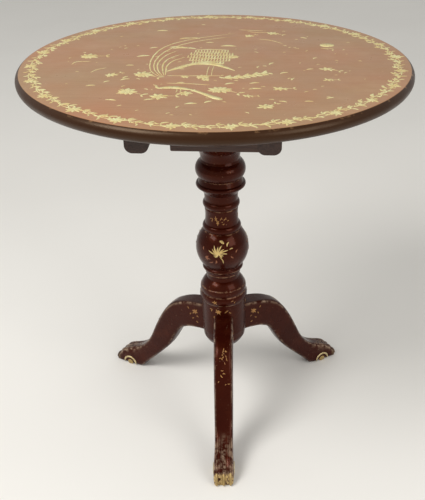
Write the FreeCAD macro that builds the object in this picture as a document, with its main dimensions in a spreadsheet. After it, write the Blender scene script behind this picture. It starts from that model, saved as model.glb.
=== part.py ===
import FreeCAD, Part
import math
import os
import Sketcher

# A tilt-top tripod table with a birdcage. Millimetres, +Z up, origin on the floor under
# the centre of the round top. The cage, bearers and top follow X and Y; the hinge axis
# runs along X at the back. The tripod is turned a few degrees against them.

os.makedirs("parts", exist_ok=True)
doc = FreeCAD.newDocument("tilt_top_table")
Vec = FreeCAD.Vector

SIZES = [
    # the whole table
    ("table_height", 720.0),
    ("top_diameter", 680.0),
    ("top_thick", 22.0),
    ("rim_round", 7.0),
    # birdcage
    ("cage_width", 158.0),
    ("cage_height", 115.6),
    ("cage_gap", 0.4),
    ("upper_plate_thick", 30.0),
    ("lower_plate_thick", 20.0),
    ("pillar_inset", 24.0),
    ("pillar_radius", 13.5),
    ("tenon_radius", 6.0),
    ("tenon_length", 12.0),
    # bearers and hinge
    ("bearer_width", 36.0),
    ("bearer_depth", 34.5),
    ("bearer_round", 12.0),
    ("bearer_gap", 0.6),
    ("pin_radius", 6.0),
    ("pin_grip", 15.0),
    ("running_clear", 0.06),
    # column
    ("shaft_radius", 50.8),
    ("capital_radius", 56.0),
    ("pintle_radius", 22.0),
    ("pintle_height", 74.0),
    ("hub_radius", 43.0),
    ("hub_collar", 25.0),
    # collar and wedge key
    ("collar_height", 14.0),
    ("collar_wall", 14.0),
    ("key_width", 10.0),
    ("key_height", 13.4),
    ("key_length", 84.0),
    ("key_taper", 5.0),
    ("key_clear", 0.1),
    # tripod
    ("leg_reach", 272.0),
    ("leg_top", 216.0),
    ("leg_thick", 38.0),
    ("leg_turn", 3.3),
    ("tongue_depth", 19.0),
    ("tongue_mouth", 16.0),
    ("tongue_flare", 3.0),
    ("drop_depth", 31.0),
    ("dowel_radius", 12.0),
    ("dowel_length", 30.0),
    # catch
    ("keeper_thick", 1.5),
    ("latch_plate_thick", 1.6),
    ("latch_plate_width", 44.0),
    ("latch_plate_length", 44.0),
    ("case_width", 18.0),
    ("case_height", 12.4),
    ("case_length", 30.0),
    ("bolt_width", 10.0),
    ("bolt_thick", 6.0),
    ("bolt_length", 44.0),
    ("bolt_throw", 8.0),
    ("bolt_back", 1.5),
    ("bolt_clear", 0.08),
    ("knob_radius", 6.5),
    # screws
    ("screw_radius", 2.6),
    ("screw_head", 5.0),
    ("screw_bite", 14.0),
    ("small_screw_radius", 1.4),
    ("small_screw_head", 2.8),
    ("small_screw_length", 12.0),
]

sheet = doc.addObject("Spreadsheet::Sheet", "Sizes")
for row, (alias, number) in enumerate(SIZES, start=1):
    sheet.set(f"A{row}", alias)
    sheet.set(f"B{row}", f"{number:g}")
    sheet.setAlias(f"B{row}", alias)
doc.recompute()


class Dim:
    """A size with its value in millimetres and the sheet formula behind it."""

    def __init__(self, value, text):
        self.value = float(value)
        self.text = text

    def __add__(self, other):
        return join(self, "+", other)

    def __radd__(self, other):
        return join(other, "+", self)

    def __sub__(self, other):
        return join(self, "-", other)

    def __rsub__(self, other):
        return join(other, "-", self)

    def __mul__(self, other):
        return join(self, "*", other)

    def __rmul__(self, other):
        return join(other, "*", self)

    def __truediv__(self, other):
        return join(self, "/", other)

    def __neg__(self):
        return join(0.0, "-", self)


def dim(v):
    """A Dim from a Dim or a plain number."""
    if isinstance(v, Dim):
        return v
    text = f"{abs(v):.6f}"
    return Dim(v, text if v >= 0 else f"(0 - {text})")


def join(a, sign, b):
    """The sum, difference, product or quotient of two sizes, with its formula."""
    a, b = dim(a), dim(b)
    if sign == "+":
        value = a.value + b.value
    elif sign == "-":
        value = a.value - b.value
    elif sign == "*":
        value = a.value * b.value
    else:
        value = a.value / b.value
    return Dim(value, f"({a.text} {sign} {b.text})")


SIZE = {alias: Dim(number, f"Sizes.{alias}") for alias, number in SIZES}


def size(alias):
    return SIZE[alias]


def bind(obj, prop, v):
    """Ties a property to the sheet."""
    obj.setExpression(prop, dim(v).text)


def new_body(name):
    body = doc.addObject("PartDesign::Body", name)
    body.Label = name
    return body


def sketch_on(body, name, role, offset=0.0):
    """A sketch on one of the body's own planes, moved along that plane's normal."""
    sketch = body.newObject("Sketcher::SketchObject", name)
    plane = [f for f in body.Origin.OriginFeatures if f.Role == role][0]
    sketch.AttachmentSupport = [(plane, "")]
    sketch.MapMode = "FlatFace"
    if isinstance(offset, Dim) or offset:
        sketch.AttachmentOffset = FreeCAD.Placement(Vec(0, 0, dim(offset).value), FreeCAD.Rotation())
        bind(sketch, ".AttachmentOffset.Base.z", offset)
    return sketch


def point_rules(geo, pos, u, v):
    """Rules that fix one point of a sketch by its two distances from the origin."""
    rules = []
    for kind, axis, d in (("DistanceX", -2, dim(u)), ("DistanceY", -1, dim(v))):
        if abs(d.value) < 1e-9:
            rules.append((Sketcher.Constraint("PointOnObject", geo, pos, axis), None))
        else:
            rules.append((Sketcher.Constraint(kind, -1, 1, geo, pos, d.value), d.text))
    return rules


def apply_rules(sketch, rules):
    """Adds all the rules at once, then ties those with a formula to the sheet."""
    first = sketch.ConstraintCount
    sketch.addConstraint([rule for rule, _ in rules])
    for n, (_, text) in enumerate(rules):
        if text:
            sketch.setExpression(f"Constraints[{first + n}]", text)


def arc_through(a, m, b):
    """The arc from a over m to b, drawn anticlockwise as a sketch needs, and whether that
    swaps its ends."""
    ring = Part.Arc(a, m, b).toShape().Curve
    c = ring.Center
    across = (m.x - a.x) * (b.y - m.y) - (m.y - a.y) * (b.x - m.x)
    start, stop = (a, b) if across > 0 else (b, a)
    low = math.atan2(start.y - c.y, start.x - c.x)
    high = math.atan2(stop.y - c.y, stop.x - c.x)
    if high < low:
        high += 2 * math.pi
    whole = Part.Circle(Vec(c.x, c.y, 0), Vec(0, 0, 1), ring.Radius)
    return Part.ArcOfCircle(whole, low, high), across <= 0


def outline(sketch, path):
    """Closed outline through the corners of path. A corner is (u, v), with a straight edge
    to the next corner, or (u, v, mu, mv), with an arc through (mu, mv) to the next corner."""
    first = sketch.GeometryCount
    count = len(path)
    flat = [[dim(c).value for c in corner] for corner in path]
    rules = []
    centres = {}
    ends = []
    for i, corner in enumerate(flat):
        a = Vec(corner[0], corner[1], 0)
        nxt = flat[(i + 1) % count]
        b = Vec(nxt[0], nxt[1], 0)
        swapped = False
        edge = Part.LineSegment(a, b)
        if len(corner) == 4:
            edge, swapped = arc_through(a, Vec(corner[2], corner[3], 0), b)
            centres[i] = edge.Center
        sketch.addGeometry(edge, False)
        ends.append((2, 1) if swapped else (1, 2))
    for i in range(count):
        j = (i + 1) % count
        joint = Sketcher.Constraint("Coincident", first + i, ends[i][1], first + j, ends[j][0])
        rules.append((joint, None))
    for i, corner in enumerate(path):
        rules += point_rules(first + i, ends[i][0], corner[0], corner[1])
    for i, centre in centres.items():
        corner = flat[i]
        nxt = flat[(i + 1) % count]
        steep = abs(nxt[1] - corner[1]) > abs(nxt[0] - corner[0])
        kind, value = ("DistanceX", centre.x) if steep else ("DistanceY", centre.y)
        rules.append((Sketcher.Constraint(kind, -1, 1, first + i, 3, value), None))
    apply_rules(sketch, rules)


def circle(sketch, u, v, radius):
    """A circle fixed by its centre and radius."""
    r = dim(radius)
    made = Part.Circle(Vec(dim(u).value, dim(v).value, 0), Vec(0, 0, 1), r.value)
    geo = sketch.addGeometry(made, False)
    size_rule = (Sketcher.Constraint("Radius", geo, r.value), r.text)
    apply_rules(sketch, point_rules(geo, 3, u, v) + [size_rule])


def turn(body, name, path, role="XZ_Plane"):
    """A turned solid from half of its profile, (radius, height)."""
    sketch = sketch_on(body, name + "_profile", role)
    outline(sketch, path)
    doc.recompute()
    feature = body.newObject("PartDesign::Revolution", name)
    feature.Profile = sketch
    feature.ReferenceAxis = (sketch, ["V_Axis"])
    feature.Angle = 360
    sketch.Visibility = False
    doc.recompute()
    return feature


def pad(body, name, role, path, length, offset=0.0, middle=False, circles=()):
    """A straight solid with the given outline, from the offset plane or about it."""
    sketch = sketch_on(body, name + "_outline", role, offset)
    if path:
        outline(sketch, path)
    for u, v, r in circles:
        circle(sketch, u, v, r)
    doc.recompute()
    feature = body.newObject("PartDesign::Pad", name)
    feature.Profile = sketch
    feature.Length = dim(length).value
    bind(feature, "Length", length)
    if middle:
        feature.Midplane = True
    sketch.Visibility = False
    doc.recompute()
    return feature


def pocket(body, name, role, path, length, offset=0.0, middle=False, circles=()):
    """Cuts the outline out of the body, and checks that it did remove material."""
    before = body.Shape.Volume
    sketch = sketch_on(body, name + "_outline", role, offset)
    if path:
        outline(sketch, path)
    for u, v, r in circles:
        circle(sketch, u, v, r)
    doc.recompute()
    feature = body.newObject("PartDesign::Pocket", name)
    feature.Profile = sketch
    feature.Length = dim(length).value
    bind(feature, "Length", length)
    if middle:
        feature.Midplane = True
    sketch.Visibility = False
    doc.recompute()
    if body.Shape.isNull() or body.Shape.Volume > before - 1e-3:
        feature.Reversed = True
        doc.recompute()
    if body.Shape.Volume > before - 1e-3:
        raise RuntimeError(name + " removes nothing")
    return feature


def soften(body, name, kind, radius, wanted):
    """A fillet or chamfer on the edges that wanted() picks."""
    base = body.Tip
    names = [f"Edge{n}" for n, e in enumerate(base.Shape.Edges, start=1) if wanted(e)]
    feature = body.newObject("PartDesign::" + kind, name)
    feature.Base = (base, names)
    prop = "Radius" if kind == "Fillet" else "Size"
    setattr(feature, prop, dim(radius).value)
    bind(feature, prop, radius)
    doc.recompute()
    if "Invalid" in feature.State or feature.Shape.isNull() or not feature.Shape.isValid():
        raise RuntimeError(name + " fails")
    base.Visibility = False
    return feature


def box_path(u0, u1, v0, v1):
    return [(u0, v0), (u1, v0), (u1, v1), (u0, v1)]


def rod(name, radius, length, at, axis, top_radius=None):
    """A cylinder, or a cone when top_radius is given, along +X, +Y or +Z from a point."""
    kind = "Part::Cylinder" if top_radius is None else "Part::Cone"
    obj = doc.addObject(kind, name)
    turns = {
        "z": FreeCAD.Rotation(),
        "x": FreeCAD.Rotation(Vec(0, 1, 0), 90),
        "y": FreeCAD.Rotation(Vec(1, 0, 0), -90),
    }
    obj.Placement = FreeCAD.Placement(Vec(*[dim(c).value for c in at]), turns[axis])
    for letter, c in zip("xyz", at):
        bind(obj, f".Placement.Base.{letter}", c)
    bind(obj, "Height", length)
    if top_radius is None:
        bind(obj, "Radius", radius)
    else:
        bind(obj, "Radius1", radius)
        bind(obj, "Radius2", top_radius)
    return obj


def compound(name, members):
    obj = doc.addObject("Part::Compound", name)
    obj.Links = members
    for m in members:
        m.Visibility = False
    return obj


def cut(name, blank, tool):
    """The blank with the tool's room taken out: seats and holes that fit by construction."""
    obj = doc.addObject("Part::Cut", name)
    obj.Base = blank
    obj.Tool = tool
    doc.recompute()
    if obj.Shape.Volume > blank.Shape.Volume - 1e-3:
        raise RuntimeError(name + " removes nothing")
    return obj


def screw(name, at, axis, radius, head, length, sink):
    """A countersunk screw: its head starts at the point and its shank runs along the axis."""
    cone = rod(name + "_head", head, sink, at, axis, top_radius=radius)
    shank = rod(name + "_shank", radius, length, at, axis)
    obj = doc.addObject("Part::MultiFuse", name)
    obj.Shapes = [cone, shank]
    return obj


NODES = {}


def keep(name, obj):
    obj.Label = name
    NODES[name] = obj
    return obj


# ---------------------------------------------------------------- shared heights
height = size("table_height")
underside = height - size("top_thick")
top_radius = size("top_diameter") / 2
cage_half = size("cage_width") / 2
hub = size("hub_radius")
plate_top = underside - size("cage_gap")
plate_low = plate_top - size("upper_plate_thick")
cage_low = plate_top - size("cage_height")
lower_top = cage_low + size("lower_plate_thick")
round_radius = size("upper_plate_thick") / 2
pivot_y = cage_half - round_radius
pivot_z = plate_top - round_radius
pillar_at = cage_half - size("pillar_inset")
bearer_in = cage_half + size("bearer_gap")
bearer_out = bearer_in + size("bearer_width")
bearer_low = underside - size("bearer_depth")
bearer_length = size("top_diameter") * 0.824
hub_bottom = size("leg_top") * (156.0 / 216.0)
hub_top = size("leg_top") + size("hub_collar")
shaft_length = cage_low - hub_top
key_low = lower_top + size("collar_height") + size("key_clear")
key_mid = key_low + size("key_height")
key_slope = size("key_taper") / size("key_length")

# ---------------------------------------------------------------- the round top
table_blank = new_body("table_top_blank")
rim = top_radius - size("rim_round")
turn(
    table_blank,
    "board",
    [
        (0, underside),
        (rim, underside, top_radius, underside + size("top_thick") / 2),
        (rim, height),
        (0, height),
    ],
)

# ---------------------------------------------------------------- bearers
bearers = {}
for side, sign in (("left", -1), ("right", 1)):
    body = new_body(f"bearer_{side}_blank")
    inner, outer = sign * bearer_in, sign * bearer_out
    step = sign * size("bearer_round")
    low_mid = bearer_low + size("bearer_round") * (1 - math.sqrt(0.5))
    path = [
        (inner, underside),
        (inner, bearer_low + size("bearer_round"), inner + step * (1 - math.sqrt(0.5)), low_mid),
        (inner + step, bearer_low),
        (outer - step, bearer_low, outer - step * (1 - math.sqrt(0.5)), low_mid),
        (outer, bearer_low + size("bearer_round")),
        (outer, underside),
    ]
    pad(body, f"bearer_{side}_bar", "XZ_Plane", path, bearer_length, middle=True)
    hole = size("pin_radius") + size("running_clear")
    reach = bearer_out * 2 + 20
    pocket(
        body, f"bearer_{side}_bore", "YZ_Plane", None, reach, middle=True,
        circles=[(pivot_y, pivot_z, hole)],
    )
    bearers[side] = body

bearer_mid = (bearer_in + bearer_out) / 2
screw_rows = [bearer_length * -0.4, bearer_length * -0.07, bearer_length * 0.4]
bearer_screws = []
for side, sign in (("left", -1), ("right", 1)):
    for n, y in enumerate(screw_rows, start=1):
        bearer_screws.append(
            screw(
                f"bearer_screw_{side}_{n}",
                (sign * bearer_mid, y, bearer_low),
                "z",
                size("screw_radius"),
                size("screw_head"),
                size("bearer_depth") + size("screw_bite"),
                4.0,
            )
        )
keep("bearer_screws", compound("bearer_screws", bearer_screws))
doc.recompute()
for side in ("left", "right"):
    keep(f"bearer_{side}", cut(f"bearer_{side}", bearers[side], NODES["bearer_screws"]))

# ---------------------------------------------------------------- catch on the underside
keeper_front = -(cage_half + size("keeper_thick"))
bolt_nose = keeper_front - size("bolt_back")
latch_in = keeper_front - 3.5
latch_out = latch_in - size("latch_plate_length")
latch_low = underside - size("latch_plate_thick")
latch_half = size("latch_plate_width") / 2
case_in = latch_in - 6.0
case_out = case_in - size("case_length")
case_low = latch_low - size("case_height")
bolt_low = case_low + 2.0
bolt_half = size("bolt_width") / 2
bolt_gap = size("bolt_clear")
knob_y = bolt_nose - size("bolt_length") * 0.56

latch_blank = new_body("latch_plate_blank")
pad(
    latch_blank, "latch_sheet", "XY_Plane",
    box_path(-latch_half, latch_half, latch_out, latch_in),
    size("latch_plate_thick"), offset=latch_low,
)
soften(
    latch_blank, "latch_corners", "Fillet", 4.0,
    lambda e: len(e.Vertexes) == 2 and abs(e.Vertexes[0].X - e.Vertexes[1].X) < 1e-6
    and abs(e.Vertexes[0].Y - e.Vertexes[1].Y) < 1e-6,
)
latch_screws = []
for n, (sx, sy) in enumerate(((-1, 0), (1, 0), (-1, 1), (1, 1)), start=1):
    y = latch_in - 4.5 if sy == 0 else latch_out + 4.5
    latch_screws.append(
        screw(
            f"latch_screw_{n}",
            (sx * (latch_half - 4.5), y, latch_low),
            "z",
            size("small_screw_radius"),
            size("small_screw_head"),
            size("small_screw_length"),
            size("latch_plate_thick"),
        )
    )
keep("latch_screws", compound("latch_screws", latch_screws))
doc.recompute()
keep("latch_plate", cut("latch_plate", latch_blank, NODES["latch_screws"]))

case = new_body("latch_case")
pad(
    case, "case_block", "XY_Plane",
    box_path(-size("case_width") / 2, size("case_width") / 2, case_out, case_in),
    size("case_height"), offset=case_low,
)
pocket(
    case, "case_channel", "XZ_Plane",
    box_path(
        -bolt_half - bolt_gap, bolt_half + bolt_gap,
        bolt_low - bolt_gap, bolt_low + size("bolt_thick") + bolt_gap,
    ),
    600.0, middle=True,
)
stem = 3.0
pocket(
    case, "case_slot", "XY_Plane",
    box_path(-stem - 0.4, stem + 0.4, knob_y - stem - 0.8, knob_y + size("bolt_throw") + stem + 0.8),
    bolt_low - case_low + 1.0, offset=bolt_low + 1.0,
)
keep("latch_case", case)

bolt = new_body("latch_bolt")
pad(
    bolt, "bolt_bar", "XY_Plane",
    [
        (-bolt_half, bolt_nose - size("bolt_length")),
        (bolt_half, bolt_nose - size("bolt_length")),
        (bolt_half, bolt_nose - 1.5),
        (bolt_half - 1.5, bolt_nose),
        (-bolt_half + 1.5, bolt_nose),
        (-bolt_half, bolt_nose - 1.5),
    ],
    size("bolt_thick"), offset=bolt_low,
)
keep("latch_bolt", bolt)

knob = new_body("latch_knob")
ball = size("knob_radius")
knob_top = bolt_low
turn(
    knob,
    "knob_turning",
    [
        (0, knob_top),
        (stem, knob_top),
        (stem, case_low - 1.6),
        (stem + 1.6, case_low - 2.2),
        (stem, case_low - 3.0),
        (stem * 0.72, case_low - 4.6, ball, case_low - 4.6 - ball),
        (0, case_low - 5.6 - ball * 1.9),
    ],
)
knob.Placement = FreeCAD.Placement(Vec(0, knob_y.value, 0), FreeCAD.Rotation())
bind(knob, ".Placement.Base.y", knob_y)
keep("latch_knob", knob)

fixings = compound("top_fixings", [NODES["bearer_screws"], NODES["latch_screws"]])
doc.recompute()
keep("table_top", cut("table_top", table_blank, fixings))

# ---------------------------------------------------------------- birdcage
pillars = []
for n, (sx, sy) in enumerate(((-1, -1), (1, -1), (1, 1), (-1, 1)), start=1):
    body = new_body(f"cage_pillar_{n}")
    fat = size("pillar_radius")
    tenon = size("tenon_radius")
    slim = fat * 0.62
    ring = fat * 0.84
    span = plate_low - lower_top
    turn(
        body,
        f"pillar_turning_{n}",
        [
            (0, lower_top - size("tenon_length")),
            (tenon, lower_top - size("tenon_length")),
            (tenon, lower_top),
            (ring, lower_top),
            (ring, lower_top + span * 0.05, fat, lower_top + span * 0.09),
            (ring, lower_top + span * 0.13),
            (slim, lower_top + span * 0.17, fat * 0.97, lower_top + span * 0.46),
            (slim * 0.9, lower_top + span * 0.83),
            (ring, lower_top + span * 0.87, fat, lower_top + span * 0.91),
            (ring, lower_top + span * 0.95),
            (ring, plate_low),
            (tenon, plate_low),
            (tenon, plate_low + size("tenon_length")),
            (0, plate_low + size("tenon_length")),
        ],
    )
    body.Placement = FreeCAD.Placement(
        Vec(sx * pillar_at.value, sy * pillar_at.value, 0), FreeCAD.Rotation()
    )
    bind(body, ".Placement.Base.x", sx * pillar_at)
    bind(body, ".Placement.Base.y", sy * pillar_at)
    pillars.append(keep(f"cage_pillar_{n}", body))

lower = new_body("cage_lower_plate_blank")
pad(
    lower, "lower_board", "XY_Plane", box_path(-cage_half, cage_half, -cage_half, cage_half),
    size("lower_plate_thick"), offset=cage_low,
)
pocket(
    lower, "pintle_bore", "XY_Plane", None, size("lower_plate_thick") * 4,
    offset=lower_top, middle=True,
    circles=[(0, 0, size("pintle_radius") + size("running_clear"))],
)


def outer_edge(e):
    """A straight level edge of the lower plate's underside."""
    a, b = e.Vertexes[0], e.Vertexes[-1]
    level = abs(a.Z - cage_low.value) < 1e-6 and abs(b.Z - cage_low.value) < 1e-6
    return level and e.Curve.TypeId == "Part::GeomLine"


soften(lower, "lower_board_edge", "Fillet", 4.0, outer_edge)

upper = new_body("cage_upper_plate_blank")
pad(
    upper, "upper_board", "YZ_Plane",
    [
        (-cage_half, plate_low),
        (pivot_y, plate_low, cage_half, pivot_z),
        (pivot_y, plate_top),
        (-cage_half, plate_top),
    ],
    size("cage_width"), middle=True,
)
pocket(
    upper, "bolt_mortise", "XZ_Plane",
    box_path(-bolt_half - 0.5, bolt_half + 0.5, bolt_low - 0.5, bolt_low + size("bolt_thick") + 0.5),
    size("bolt_throw") + 3.0, offset=cage_half,
)

pins = []
for side, sign in (("left", -1), ("right", 1)):
    inner = cage_half - size("pin_grip")
    length = bearer_out - 5.0 - inner
    start = inner if sign > 0 else -(inner + length)
    pin = rod(f"pivot_pin_{side}", size("pin_radius"), length, (start, pivot_y, pivot_z), "x")
    pins.append(keep(f"pivot_pin_{side}", pin))

keeper_mid = bolt_low + size("bolt_thick") / 2
keeper_blank = new_body("keeper_plate_blank")
pad(
    keeper_blank, "keeper_sheet", "XZ_Plane",
    box_path(-16.0, 16.0, keeper_mid - 10.0, keeper_mid + 7.0),
    size("keeper_thick"), offset=cage_half,
)
pocket(
    keeper_blank, "keeper_hole", "XZ_Plane",
    box_path(-bolt_half - 0.4, bolt_half + 0.4, bolt_low - 0.4, bolt_low + size("bolt_thick") + 0.4),
    600.0, middle=True,
)
keeper_screws = []
for n, sign in enumerate((-1, 1), start=1):
    keeper_screws.append(
        screw(
            f"keeper_screw_{n}",
            (sign * 11.0, keeper_front, keeper_mid - 2.0),
            "y",
            size("small_screw_radius"),
            size("small_screw_head"),
            size("small_screw_length"),
            size("keeper_thick"),
        )
    )
keep("keeper_screws", compound("keeper_screws", keeper_screws))
doc.recompute()
keep("keeper_plate", cut("keeper_plate", keeper_blank, NODES["keeper_screws"]))

sockets = compound("upper_sockets", pillars + pins + [NODES["keeper_screws"]])
lower_sockets = compound("lower_sockets", pillars)
doc.recompute()
keep("cage_upper_plate", cut("cage_upper_plate", upper, sockets))
keep("cage_lower_plate", cut("cage_lower_plate", lower, lower_sockets))

collar = new_body("cage_collar")
bore = size("pintle_radius") + size("running_clear")
collar_out = bore + size("collar_wall")
collar_top = lower_top + size("collar_height")
turn(
    collar,
    "collar_turning",
    [
        (bore, lower_top),
        (collar_out, lower_top, collar_out + 2.5, lower_top + size("collar_height") / 2),
        (collar_out, collar_top),
        (bore, collar_top),
    ],
)
keep("cage_collar", collar)

# ---------------------------------------------------------------- column
SHAFT = 341.0
FOOT = 241.0
FAT = 50.8


def shaft_z(z):
    """A height on the shaft, moved with the shaft's length above the hub."""
    return hub_top + shaft_length * ((z - FOOT) / SHAFT)


def shaft_r(r):
    """A radius on the shaft, in proportion to the ball."""
    return size("shaft_radius") * (r / FAT)


def moulding(r0, z0, rm, zm):
    """A corner of the shaft with an arc to the next one."""
    return (shaft_r(r0), shaft_z(z0), shaft_r(rm), shaft_z(zm))


def corner(r, z):
    return (shaft_r(r), shaft_z(z))


column_blank = new_body("column_blank")
turn(
    column_blank,
    "column_turning",
    [
        (0, hub_bottom),
        (hub * 0.955, hub_bottom),
        (hub, hub_bottom + 16.0),
        (hub, hub_top - 1.0),
        # the wide band over the legs, and the bead on it
        moulding(44.4, 242.0, 46.6, 250.0),
        corner(44.6, 258.6),
        moulding(43.8, 260.0, 44.8, 266.5),
        corner(43.6, 273.0),
        # the sloping shoulder, its neck and a thin fillet
        moulding(42.6, 274.2, 38.4, 282.4),
        corner(31.8, 289.4),
        corner(31.6, 297.4),
        corner(33.8, 300.0),
        # a thin ring, hollowed below, that the ball sits on
        moulding(34.2, 302.8, 35.4, 308.2),
        corner(38.9, 311.8),
        moulding(39.2, 312.6, 38.8, 315.4),
        corner(37.0, 317.4),
        # the ball
        moulding(37.0, 319.0, 50.8, 355.8),
        corner(37.0, 392.4),
        moulding(34.5, 395.2, 36.7, 401.0),
        corner(32.3, 408.8),
        # the painted neck between two small rings
        moulding(32.0, 410.6, 30.9, 425.0),
        corner(31.8, 438.8),
        moulding(31.0, 441.8, 34.9, 448.4),
        corner(31.8, 456.0),
        corner(31.2, 458.0),
        corner(32.2, 471.6),
        # the two big rings under the capital
        moulding(41.6, 484.0, 46.4, 487.8),
        corner(42.4, 493.6),
        moulding(39.3, 502.6, 46.8, 517.4),
        corner(38.2, 536.6),
        # the hollowed capital that carries the cage
        corner(36.2, 540.6),
        moulding(36.8, 546.0, 39.6, 556.4),
        corner(47.6, 567.0),
        (size("capital_radius") - 1.2, cage_low - 7.0),
        (size("capital_radius"), cage_low - 6.0),
        (size("capital_radius"), cage_low),
        (size("pintle_radius"), cage_low),
        (size("pintle_radius"), cage_low + size("pintle_height") - 2.0),
        (size("pintle_radius") - 2.0, cage_low + size("pintle_height")),
        (0, cage_low + size("pintle_height")),
    ],
)
mortise_end = size("pintle_radius") + 6.0
room = size("key_clear")
pocket(
    column_blank, "key_mortise", "YZ_Plane",
    [
        (-mortise_end, key_low - 1.2),
        (mortise_end, key_low - 1.2),
        (mortise_end, key_mid - key_slope * mortise_end + room),
        (-mortise_end, key_mid + key_slope * mortise_end + room),
    ],
    size("key_width") + room * 2, middle=True,
)

key = new_body("wedge_key")
key_half = size("key_length") / 2
pad(
    key, "key_bar", "YZ_Plane",
    [
        (-key_half, key_low),
        (key_half, key_low),
        (key_half, key_mid - key_slope * key_half),
        (-key_half, key_mid + key_slope * key_half),
    ],
    size("key_width"), middle=True,
)
soften(
    key, "key_ends", "Chamfer", 1.2,
    lambda e: all(abs(abs(v.Y) - key_half.value) < 1e-6 for v in e.Vertexes),
)
keep("wedge_key", key)

# ---------------------------------------------------------------- tripod
LEG_REACH = 272.0
HUB = 43.0


def leg_x(x):
    """A distance from the axis along the leg, in proportion to its reach."""
    return hub + (size("leg_reach") - hub) * ((x - HUB) / (LEG_REACH - HUB))


def leg_z(z):
    """A height on the leg, in proportion to its root."""
    return size("leg_top") * (z / 216.0)


def leg_bend(x0, z0, xm, zm):
    return (leg_x(x0), leg_z(z0), leg_x(xm), leg_z(zm))


def leg_corner(x, z):
    return (leg_x(x), leg_z(z))


LEG_OUTLINE = [
    (hub - 8.0, hub_bottom),
    (hub - 8.0, size("leg_top")),
    leg_bend(43.0, 216.0, 79.0, 210.6),
    leg_bend(110.0, 199.2, 131.5, 180.0),
    leg_bend(147.0, 157.0, 162.5, 126.0),
    leg_bend(177.0, 93.0, 192.0, 69.0),
    leg_bend(214.0, 51.0, 236.0, 41.0),
    leg_bend(254.0, 32.0, 266.0, 17.5),
    leg_corner(272.0, 0.0),
    leg_corner(208.0, 0.0),
    leg_corner(206.5, 3.0),
    leg_corner(172.0, 37.5),
    leg_bend(155.0, 55.0, 139.5, 72.0),
    leg_bend(125.0, 92.0, 104.0, 128.5),
    leg_bend(74.0, 150.6, 58.0, 154.0),
    (hub, hub_bottom),
]
tongue_in = hub - size("tongue_depth")
mouth = size("tongue_mouth") / 2
TONGUE = [
    (tongue_in, -mouth - size("tongue_flare")),
    (hub + 3.0, -mouth),
    (hub + 3.0, mouth),
    (tongue_in, mouth + size("tongue_flare")),
]


legs = []
slots = []
for name, angle in (("front", -90.0), ("right", 30.0), ("left", 150.0)):
    body = new_body(f"leg_{name}")
    pad(body, f"leg_{name}_plank", "XZ_Plane", LEG_OUTLINE, size("leg_thick"), middle=True)
    pocket(
        body, f"leg_{name}_seat", "XY_Plane", None, size("leg_top") * 3, middle=True,
        circles=[(0, 0, hub)],
    )
    pad(
        body, f"leg_{name}_tongue", "XY_Plane", TONGUE, size("leg_top") - 6.0 - hub_bottom,
        offset=hub_bottom,
    )
    slot = new_body(f"slot_{name}")
    pad(
        slot, f"slot_{name}_room", "XY_Plane", TONGUE, size("leg_top") - 6.0 - hub_bottom + 8.0,
        offset=hub_bottom - 8.0,
    )
    for obj in (body, slot):
        turned = FreeCAD.Rotation(Vec(0, 0, 1), angle + size("leg_turn").value)
        obj.Placement = FreeCAD.Placement(Vec(0, 0, 0), turned)
        bind(obj, ".Placement.Rotation.Angle", dim(angle) + size("leg_turn"))
    legs.append(keep(f"leg_{name}", body))
    slot.Visibility = False
    slots.append(slot)

drop = new_body("pendant_drop")
low = hub_bottom - size("drop_depth")
depth = size("drop_depth")
dowel = size("dowel_radius")
turn(
    drop,
    "drop_turning",
    [
        (0, hub_bottom + size("dowel_length")),
        (dowel, hub_bottom + size("dowel_length")),
        (dowel, hub_bottom),
        (hub * 0.945, hub_bottom, hub * 0.78, hub_bottom - depth * 0.42),
        (hub * 0.43, hub_bottom - depth * 0.82, hub * 0.24, hub_bottom - depth * 0.965),
        (hub * 0.04, low),
        (0, low),
    ],
)
keep("pendant_drop", drop)

slot_tools = compound("leg_slots", slots)
doc.recompute()
slotted = cut("column_slotted", column_blank, slot_tools)
keep("column", cut("column", slotted, drop))

# ---------------------------------------------------------------- checks and export
doc.recompute()
for obj in doc.Objects:
    state = " ".join(obj.State)
    if "Invalid" in state or "Error" in state:
        raise RuntimeError(f"{obj.Label} did not compute: {state}")
for name, obj in NODES.items():
    shape = obj.Shape
    if shape.isNull() or not shape.isValid() or not shape.Solids:
        raise RuntimeError(f"{name} is not a valid solid")
    if obj.Label != name:
        raise RuntimeError(f"{name} is labelled {obj.Label}")
    shape.exportStep(f"parts/{name}.step")
    box = shape.BoundBox
    print(
        f"{name:18s} solids {len(shape.Solids)}  x {box.XMin:8.2f} {box.XMax:8.2f}"
        f"  y {box.YMin:8.2f} {box.YMax:8.2f}  z {box.ZMin:8.2f} {box.ZMax:8.2f}"
    )
print(len(NODES), "nodes written")
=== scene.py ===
# %% [markdown]
# # A lacquered tilt-top table
# The table is a round board on a turned column with three carved legs. The solid pieces
# come ready made, in metres, with the floor at z = 0 and the column on the z axis. This
# lesson gives them their lacquer, wood and brass, carves the three legs as new surfaces,
# and lays on the gilt flowers as very thin raised shapes.

# %% Load the solid pieces
import math
import bpy
import numpy as np
from mathutils import Matrix, Vector


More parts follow.
